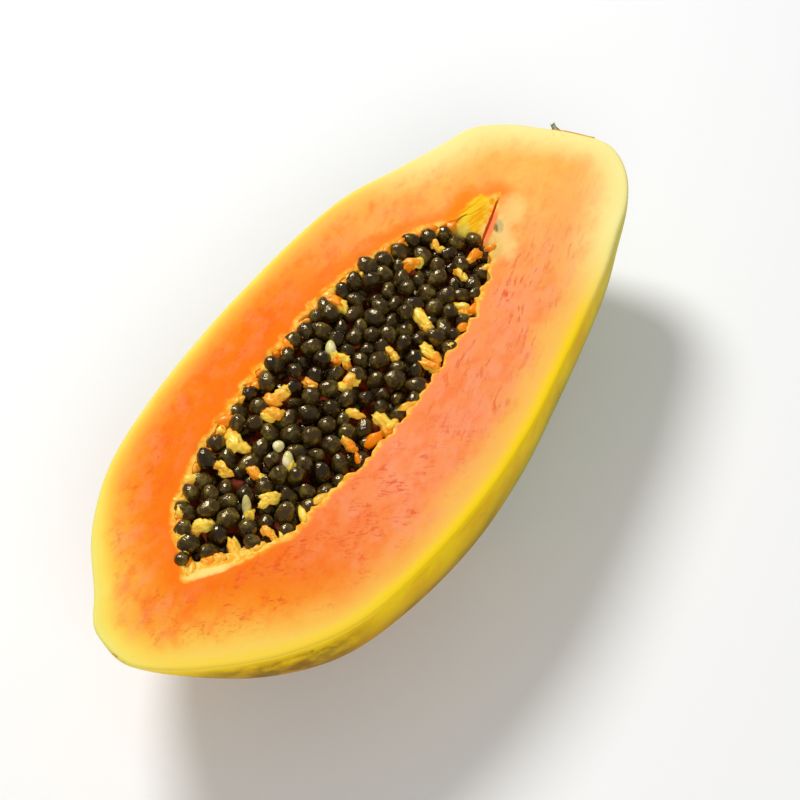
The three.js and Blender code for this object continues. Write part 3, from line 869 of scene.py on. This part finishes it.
pulp = scatter("pulp_shreds", [(shred_form, shreds), (crumb_form, crumbs)], 0.44, 0.2)
young = scatter("unripe_seeds", [(seed_form, unripe)], 0.04)
for form in (seed_form, plain_seed, shred_form, crumb_form):
    bpy.data.objects.remove(form)
print("shreds:", len(shreds), "crumbs:", len(crumbs), "unripe seeds:", len(unripe))

# %% Pulp and unripe seed materials
juicy = Recipe("torn_pulp")
tone = juicy.attribute("tone")
pulpy = juicy.mix((tone + 1.2 * (juicy.cloud(1.6, 3) - 0.5)).between(0.1, 1.0), colour(250, 138, 2), colour(255, 214, 78))
# The shreds also glow faintly in their own colour: painted light in place of light shining through the wet pulp.
juicy.set(
    Base_Color=pulpy,
    Roughness=0.16 + 0.2 * juicy.cloud(2, 2),
    Normal=juicy.bump(juicy.cloud(0.8, 3), 0.25, 0.6),
    Subsurface_Weight=0.2,
    Subsurface_Scale=0.0015,
    Subsurface_Radius=(1.0, 0.5, 0.12),
    Emission_Color=pulpy,
    Emission_Strength=0.12,
)
pulp.data.materials.append(juicy.material)
cream = Recipe("unripe_seed")
cream.set(
    Base_Color=cream.mix(cream.cloud(2, 3).between(0.35, 0.65), colour(252, 242, 190), colour(222, 210, 112)),
    Roughness=0.32,
    Normal=cream.bump(cream.cloud(1.2, 2), 0.2, 0.4),
)
young.data.materials.append(cream.material)
print("pulp and unripe seeds have their finishes")

# %% [markdown]
# ## The torn stalk
# A stump of dry stalk sits at the stalk end, cut through with the fruit. It is a short
# tapered round whose top is torn, modelled from a cylinder and halved by a bisection at the cut.

# %% Stalk
STALK_MIDDLE, STALK_LENGTH, STALK_ROOT, STALK_TIP, STALK_LEAN = (117, -0.4), 7.4, 1.7, 0.7, 0.86
bpy.ops.object.select_all(action="DESELECT")
bpy.ops.mesh.primitive_cone_add(
    vertices=40, radius1=STALK_ROOT * MM, radius2=STALK_TIP * MM, depth=STALK_LENGTH * MM,
    location=(STALK_MIDDLE[0] * MM, (STALK_MIDDLE[1] + CORE_Y) * MM, CUT_HEIGHT * MM),
    rotation=(0, math.pi / 2, STALK_LEAN),
)
stalk = bpy.context.object
stalk.name = stalk.data.name = "torn_stalk"
bpy.ops.object.transform_apply(location=True, rotation=True, scale=True)
bpy.ops.object.mode_set(mode="EDIT")
bpy.ops.mesh.select_all(action="SELECT")
bpy.ops.mesh.subdivide(number_cuts=3)
bpy.ops.mesh.bisect(plane_co=(0, 0, CUT_HEIGHT * MM), plane_no=(0, 0, 1), use_fill=True, clear_outer=True)
bpy.ops.mesh.select_all(action="SELECT")
bpy.ops.mesh.remove_doubles(threshold=1e-5)
bpy.ops.mesh.quads_convert_to_tris()
bpy.ops.object.mode_set(mode="OBJECT")
for v in stalk.data.vertices:
    x, y, z = v.co / MM
    torn = step(x, 117, 119.4)
    v.co.x += 0.9 * MM * torn * (rough(0, y, z, 0.8, 6) - 0.4)
    v.co.y += 0.25 * MM * rough(x, y, z, 1.2, 7)
stalk.data.validate()
bpy.ops.object.shade_smooth_by_angle(angle=math.radians(40))
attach(stalk, "root")
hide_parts("stalk_stub")
bark = Recipe("dry_stalk")
strands = bark.cloud(1.0, 3, at=bark.stretched((0.2, 1.6, 1.6)))
bark.set(
    Base_Color=bark.mix(strands.between(0.35, 0.65), colour(112, 112, 84), colour(184, 180, 142)),
    Roughness=0.85,
    Normal=bark.bump(strands, 0.3, 0.7),
)
stalk.data.materials.append(bark.material)
print("stalk:", len(stalk.data.polygons), "faces")
